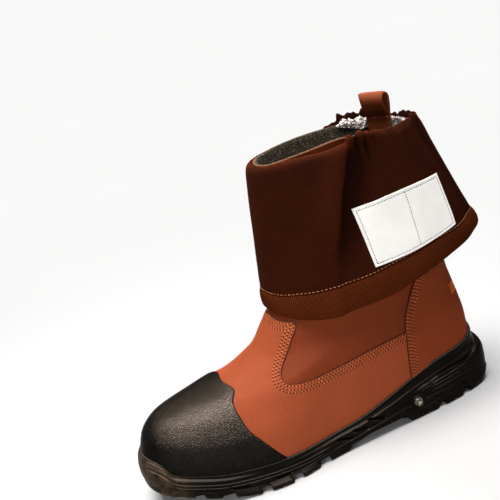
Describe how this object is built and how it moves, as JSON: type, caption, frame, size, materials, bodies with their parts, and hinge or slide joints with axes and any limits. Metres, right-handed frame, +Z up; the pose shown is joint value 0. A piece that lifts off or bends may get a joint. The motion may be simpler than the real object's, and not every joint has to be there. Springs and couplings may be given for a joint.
{
  "type": "safety boot",
  "caption": "Pull-on leather safety boot with black toe cap, lugged sole, pull loop and a woven cuff turned down over the shaft.",
  "frame": {"origin": "middle of the bounding box in plan, on the floor plane under the sole", "axes": "+X towards the toe, +Y towards the boot's left, which is its outer side, +Z up"},
  "size_m": [0.3344, 0.108, 0.2676],
  "materials": {
    "outsole_rubber": "satin black moulded",
    "midsole_rubber": "satin black moulded",
    "insole_fabric": "dark felt",
    "upper_leather": "tan-brown smooth leather",
    "cap_rubber": "black pebbled",
    "cuff_fabric": "dark-brown woven",
    "loop_leather": "tan-brown leather strap"
  },
  "bodies": {
    "root": {"outsole": "outsole_rubber", "midsole": "midsole_rubber", "insole": "insole_fabric", "upper": "upper_leather", "toe_cap": "cap_rubber", "cuff": "cuff_fabric", "pull_loop": "loop_leather"}
  },
  "joints": []
}
